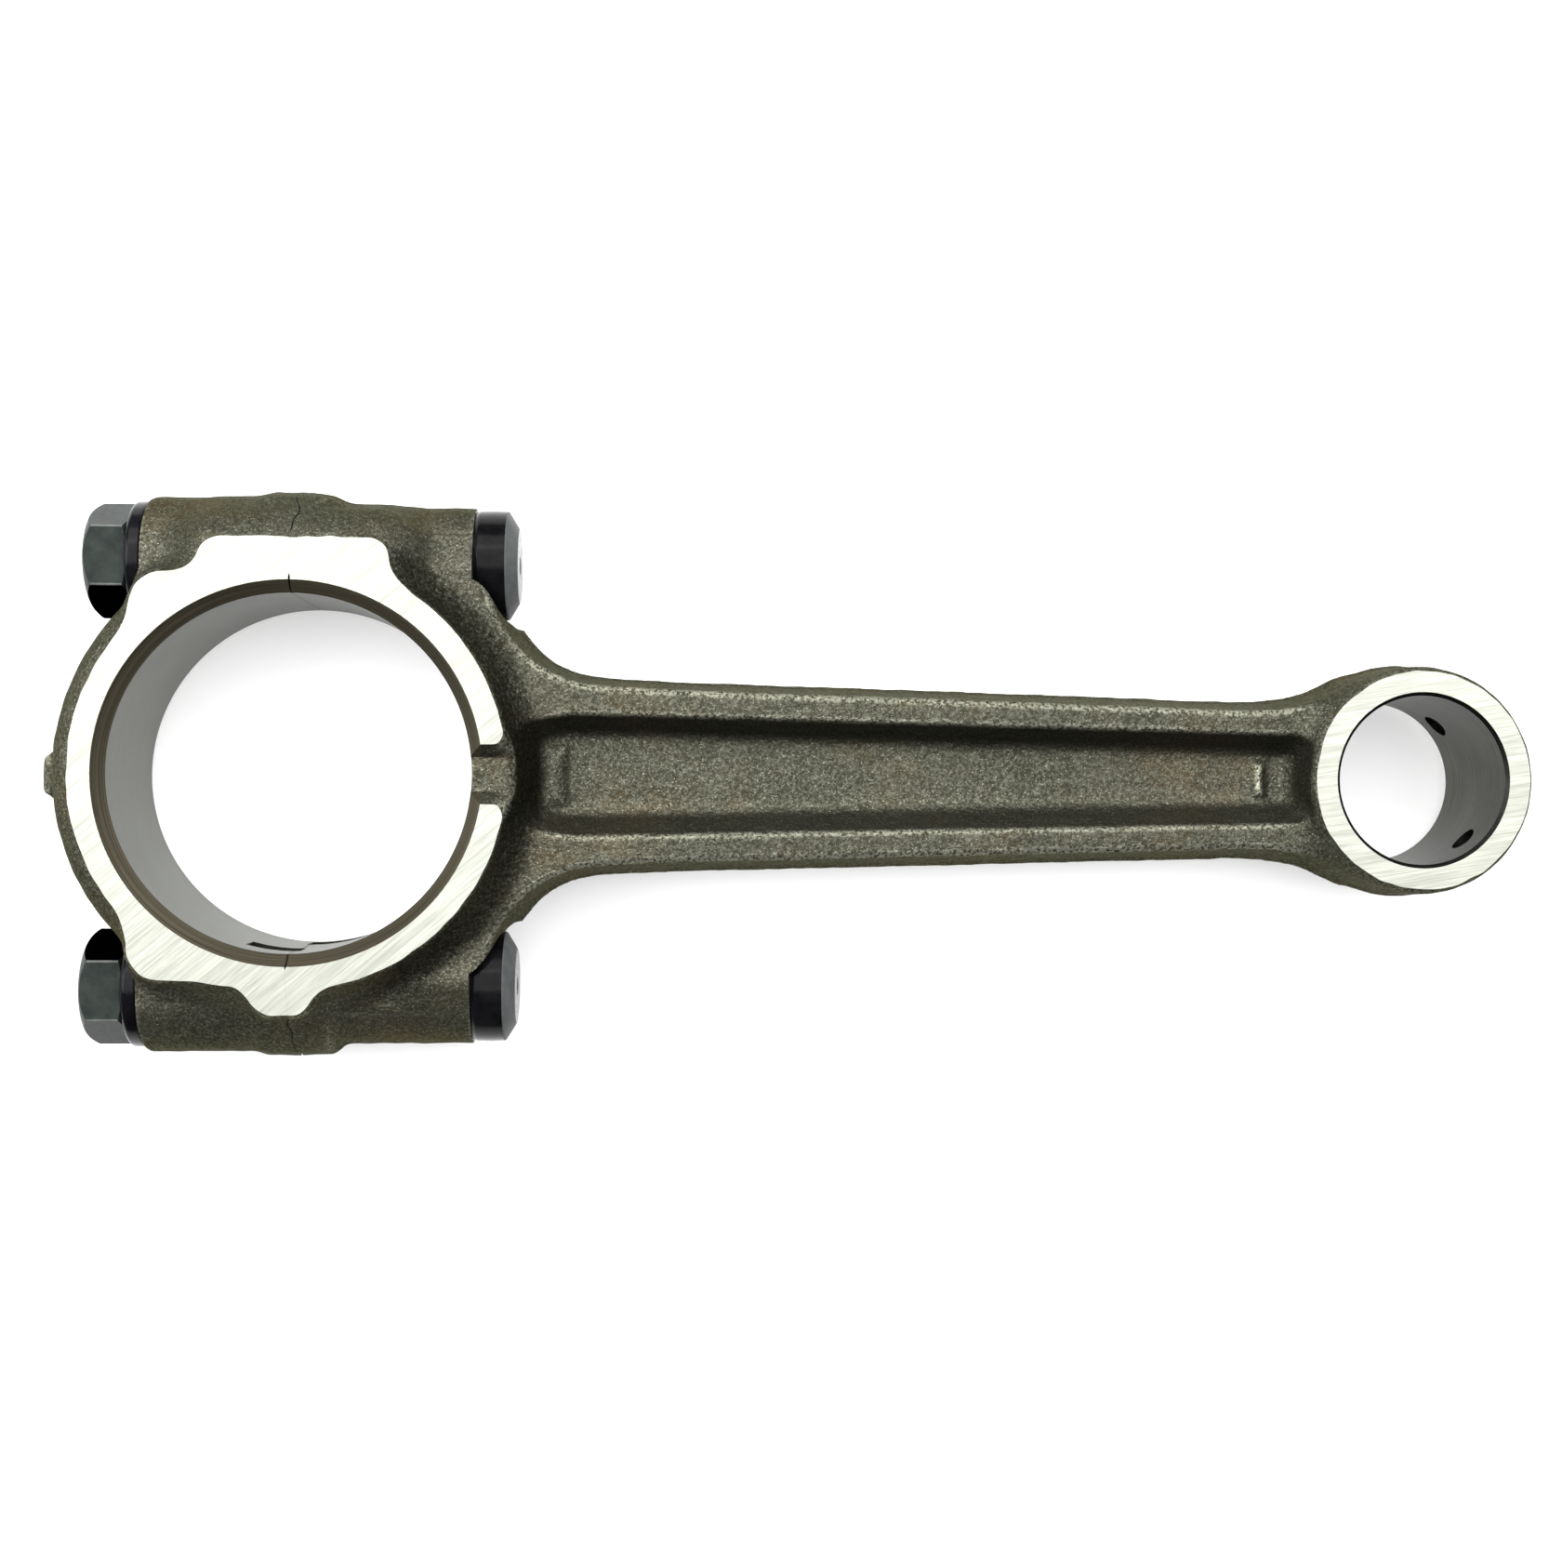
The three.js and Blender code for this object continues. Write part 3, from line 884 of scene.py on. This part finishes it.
def swept(name, stations, segments, radius_at):
    """A closed solid about X whose radius changes along and round it."""
    angles = [2 * math.pi * i / segments for i in range(segments)]
    points = [(stations[0], 0, 0)]
    for x in stations:
        for angle in angles:
            radius = radius_at(x, angle)
            points.append((x, radius * math.cos(angle), radius * math.sin(angle)))
    points.append((stations[-1], 0, 0))
    faces = []
    last = len(points) - 1
    for i in range(segments):
        j = (i + 1) % segments
        faces.append((0, 1 + j, 1 + i))
        for row in range(len(stations) - 1):
            a = 1 + row * segments
            b = a + segments
            faces.append((a + i, a + j, b + j, b + i))
        end = 1 + (len(stations) - 1) * segments
        faces.append((last, end + i, end + j))
    return mesh_object(name, points, faces)


def bolt_shape(name):
    """The shank with its thread and chamfered tip, and the head."""
    tip = BOLT_LOW[0]
    thread_end = -6.0
    step = 0.1
    segments = 72

    def radius_at(x, angle):
        taper = min((x - tip) * 1.1, 0)
        if x > thread_end:
            return BOLT_RADIUS
        fade = min(max((x - thread_end + 1.5) / 1.5, 0), 1)
        threaded = thread_radius(x, angle, BOLT_RADIUS - 0.03, THREAD_DEPTH * (1 - fade))
        point = BOLT_RADIUS - 0.85 + (x - tip) * 0.9
        return min(threaded, point) + taper

    stations = list(np.arange(tip, thread_end + 0.3, step)) + [ROD_SEAT + 1.0]
    shank = swept(name, stations, segments, radius_at)
    boolean(shank, bolt_head(), "UNION")
    return shank


def rounded(profile, radius, steps=4):
    """A profile with each inner corner rounded by up to that radius."""
    points = [np.array(p, dtype=float) for p in profile]
    result = [tuple(points[0])]
    for before, corner, after in zip(points, points[1:], points[2:]):
        to_before, to_after = before - corner, after - corner
        reach = min(radius, np.linalg.norm(to_before) * 0.45, np.linalg.norm(to_after) * 0.45)
        start = corner + to_before / np.linalg.norm(to_before) * reach
        end = corner + to_after / np.linalg.norm(to_after) * reach
        for i in range(steps + 1):
            t = i / steps
            result.append(tuple((1 - t) ** 2 * start + 2 * t * (1 - t) * corner + t * t * end))
    result.append(tuple(points[-1]))
    return result


def bolt_head():
    seat, top = ROD_SEAT + 0.03, BOLT_HIGH[0] - 0.3
    radius = (BOLT_HIGH[1] - BOLT_LOW[1]) / 2
    profile = [(seat, 0), (seat, radius - 0.25), (seat + 0.25, radius - 0.2), (seat + 0.5, radius - 0.05),
               (seat + 2.4, radius), (top - 1.4, radius - 0.05), (top - 0.15, radius - 2.1),
               (top, radius - 2.4), (top, 1.3), (top - 0.5, 0)]
    return turned(rounded(profile, 0.25), 128)


def washer_shape(name):
    near, far = CAP_SEAT - 0.03, WASHER_LOW[0] - 0.1
    outer = (WASHER_HIGH[1] - WASHER_LOW[1]) / 2
    profile = [(far, 0), (far, outer - 0.45), (far + 0.45, outer), (near - 0.35, outer),
               (near, outer - 0.35), (near, 0)]
    piece = turned(rounded(profile, 0.3), 128, name)
    hole = [(far - 1, 0), (far - 1, HOLE_RADIUS + 1.3), (far + 0.3, HOLE_RADIUS),
            (near + 1, HOLE_RADIUS), (near + 1, 0)]
    boolean(piece, turned(hole, 96))
    return piece


def hexagon(name, x0, x1, across):
    """A hexagon bar along X with softened edges and a corner towards +Y."""
    soft = 0.3
    centre = (across - 2 * soft) / math.sqrt(3)
    ring = []
    for i in range(6):
        angle = math.radians(60 * i)
        for step in range(-2, 3):
            spread = math.radians(30 * step / 2)
            ring.append((centre * math.cos(angle) + soft * math.cos(angle + spread),
                         centre * math.sin(angle) + soft * math.sin(angle + spread)))
    count = len(ring)
    points = [(x0, y, z) for y, z in ring] + [(x1, y, z) for y, z in ring]
    faces = [tuple(range(count - 1, -1, -1)), tuple(range(count, 2 * count))]
    faces += [(i, (i + 1) % count, (i + 1) % count + count, i + count) for i in range(count)]
    return mesh_object(name, points, faces)


def nut_shape(name):
    near, far = WASHER_LOW[0] - 0.13, NUT_LOW[0]
    across = NUT_HIGH[2] - NUT_LOW[2]
    corner = across / math.sqrt(3)
    piece = hexagon(name, far, near, across)
    dome = [(far, 0), (far, corner - 2.2), (far + 0.45, corner - 1.0), (far + 1.5, corner + 0.1),
            (near - 0.4, corner + 0.1), (near, corner - 0.6), (near, 0)]
    boolean(piece, turned(rounded(dome, 0.5), 128), "INTERSECT")
    step = 0.1
    stations = list(np.arange(far - 1, near + 1, step))

    def radius_at(x, angle):
        lead = max(BOLT_RADIUS + 0.35 - (x - far) * 0.9, 0)
        tail = max(BOLT_RADIUS + 0.35 - (near - x) * 0.9, 0)
        return max(thread_radius(x, angle, BOLT_RADIUS + 0.06, THREAD_DEPTH), lead, tail)

    boolean(piece, swept("tool", stations, 72, radius_at))
    return piece


# ---- building the object ------------------------------------------------------------------------

FORGING_MATERIALS = [
    forged_skin(), ground_face("ground_big_end", 40, 0.82), ground_face("ground_small_end", 9, 0.82),
    bored_wall("bored_wall", (0.158, 0.163, 0.147), 0.50, 5200, 0.85, 0.1), turned_chamfer(),
    bored_wall("pin_bore_wall", (0.074, 0.078, 0.064), 0.40, 1800, 0.60, 1.0),
    # the second cut steel, at 0.06 brightness, is painted shade for the holes, the tang slots and the pin
    # bore's chamfer
    cut_steel("cut_steel", 1.0), cut_steel("cut_steel_painted_shade", 0.06), cracked_steel(),
]


def copied(piece, name):
    twin = bpy.data.objects.new(name, piece.data.copy())
    bpy.context.scene.collection.objects.link(twin)
    return twin


def build_forgings():
    forging, values = rough_forging()
    machine(forging)
    cap = copied(forging, "bearing_cap_forging")
    rod = copied(forging, "rod_forging_body")
    discard(forging)
    boolean(cap, split_tool(-SPLIT_GAP / 2, values), "INTERSECT")
    boolean(rod, split_tool(SPLIT_GAP / 2, values))
    for piece, node, body in ((cap, "bearing_cap", "cap"), (rod, "rod_forging", "rod")):
        add_wear_and_painted_shade(piece.data, values)
        finish(piece, FORGING_MATERIALS, surface_kinds(piece.data))
        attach(piece, body)
        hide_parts(node)


def fastener_kinds(mesh, kind, side):
    """Marks the bolt's end chamfer, which gets a painted sheen, the nut's flats that face the other nut,
    which get painted shade, and its worn edges.
    """
    centres, normals = face_data(mesh)
    if kind == "bolt":
        slanted = (normals[:, 0] > 0.3) & (normals[:, 0] < 0.95)
        # the head's end chamfer gets material 1, painted sheen
        return (slanted & (centres[:, 0] > BOLT_HIGH[0] - 2)).astype(int)
    if kind == "nut":
        across = np.abs(normals[:, 0]) < 0.05
        turn = np.degrees(np.arctan2(normals[:, 1], normals[:, 2])) % 60
        on_edge = across & (turn > 4) & (turn < 56)
        # flats that face the other nut get material 1, painted shade; the rounded corners get 2
        return np.where(on_edge, 2, normals[:, 1] * side < -0.6)
    return np.zeros(len(centres))


# each finish is (name, darker tone, lighter tone, roughness, metallic, specular)
OXIDE_FINISHES = {
    "bolt": (
        ("black_oxide_bolt", (0.0012, 0.0012, 0.0015), (0.0035, 0.0035, 0.004), 0.17, 0.0, 0.15),
        # painted sheen: a lighter copy of the oxide on the head's end chamfer
        ("bolt_end_chamfer_painted_sheen", (0.045, 0.048, 0.048), (0.065, 0.068, 0.068), 0.4, 0.0, 0.05),
    ),
    "washer": (
        ("black_oxide_washer", (0.0012, 0.0012, 0.0018), (0.0035, 0.0035, 0.0045), 0.17, 0.0, 0.2),
    ),
    "nut": (
        ("black_oxide_nut", (0.009, 0.0112, 0.010), (0.018, 0.0225, 0.020), 0.32, 0.0, 0.1),
        # painted shade: the nut's flats that face the other nut, near black
        ("nut_flats_painted_shade", (0.002, 0.002, 0.002), (0.005, 0.005, 0.005), 0.3, 1.0, 0.05),
        ("worn_nut_edges", (0.05, 0.053, 0.05), (0.09, 0.095, 0.09), 0.35, 0.0, 0.05),
    ),
}


def build_fasteners():
    oxide = {kind: [black_oxide(*row) for row in rows] for kind, rows in OXIDE_FINISHES.items()}
    for place, side in (("upper", 1), ("lower", -1)):
        rows = (
            (bolt_shape(f"{place}_bolt"), f"rod_bolt_{place}", "rod", "bolt"),
            (washer_shape(f"{place}_washer_ring"), f"washer_{place}", f"{place}_washer", "washer"),
            (nut_shape(f"{place}_hex_nut"), f"nut_{place}", f"{place}_nut", "nut"),
        )
        for piece, node, body, kind in rows:
            at_bolt(piece, side)
            finish(piece, oxide[kind], fastener_kinds(piece.data, kind, side))
            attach(piece, body)
            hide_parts(node)


# ---- the studio ---------------------------------------------------------------------------------


def build_floor():
    size = 3.0
    bottom = CAD_BOX[0][2] - 0.00005
    points = [(x * size, y * size, bottom) for x, y in ((-1, -1), (1, -1), (1, 1), (-1, 1))]
    floor = mesh_object("floor", points, [(0, 1, 2, 3)])
    n = Nodes("pale_floor")
    n.color((0.5, 0.5, 0.5))
    n.feed("Roughness", 0.9)
    n.feed("Emission Color", (1, 1, 1, 1))
    n.feed("Emission Strength", 0.45)
    floor.data.materials.append(n.material)


def build_lights():
    """Three soft lights: above, beyond the object and beyond its left end."""
    target = Vector((0.06, 0, 0))
    rows = (
        ("overhead", (0.06, 0.18, 0.66), (1.5, 0.6), 16),
        ("behind", (0.06, 0.47, 0.46), (0.9, 0.35), 5.5),
        ("left", (-0.46, 0.10, 0.36), (0.35, 0.5), 4.0),
    )
    for name, place, size, power in rows:
        light = bpy.data.lights.new(name, "AREA")
        light.shape = "RECTANGLE"
        light.size, light.size_y = size
        light.energy = power
        lamp = bpy.data.objects.new(name, light)
        lamp.location = place
        lamp.rotation_euler = (target - Vector(place)).to_track_quat("-Z", "Y").to_euler()
        bpy.context.scene.collection.objects.link(lamp)


def build_world():
    """Surroundings that are brightest above and a little behind, and white to the camera."""
    world = bpy.data.worlds.new("studio")
    world.use_nodes = True
    tree = world.node_tree
    background = tree.nodes["Background"]
    background.inputs["Color"].default_value = (1, 1, 1, 1)
    place = tree.nodes.new("ShaderNodeTexCoord")
    toward = tree.nodes.new("ShaderNodeVectorMath")
    toward.operation = "DOT_PRODUCT"
    toward.inputs[1].default_value = (0, 0.35, 0.94)
    strength = tree.nodes.new("ShaderNodeMapRange")
    strength.inputs["From Min"].default_value = -0.2
    strength.inputs["From Max"].default_value = 1.0
    strength.inputs["To Min"].default_value = 0.06
    strength.inputs["To Max"].default_value = 0.55
    tree.links.new(place.outputs["Generated"], toward.inputs[0])
    tree.links.new(toward.outputs["Value"], strength.inputs["Value"])
    seen = tree.nodes.new("ShaderNodeLightPath")
    backdrop = tree.nodes.new("ShaderNodeMath")
    backdrop.operation = "MAXIMUM"
    tree.links.new(strength.outputs[0], backdrop.inputs[0])
    tree.links.new(seen.outputs["Is Camera Ray"], backdrop.inputs[1])
    tree.links.new(backdrop.outputs[0], background.inputs["Strength"])
    bpy.context.scene.world = world


def build_camera():
    camera = bpy.data.cameras.new("camera")
    camera.sensor_fit = "HORIZONTAL"
    camera.sensor_width = 36
    camera.lens = 44.27
    camera.clip_start = 0.01
    place = Matrix.Translation((0.0462, -0.0037, 0.2535))
    turn = Euler((0.0108, -0.0624, 0.0052)).to_matrix().to_4x4()
    holder = bpy.data.objects.new("camera", camera)
    holder.matrix_world = place @ turn
    bpy.context.scene.collection.objects.link(holder)
    bpy.context.scene.camera = holder


build_forgings()
build_fasteners()
build_floor()
build_lights()
build_world()
build_camera()
bpy.context.scene.view_settings.view_transform = "Standard"
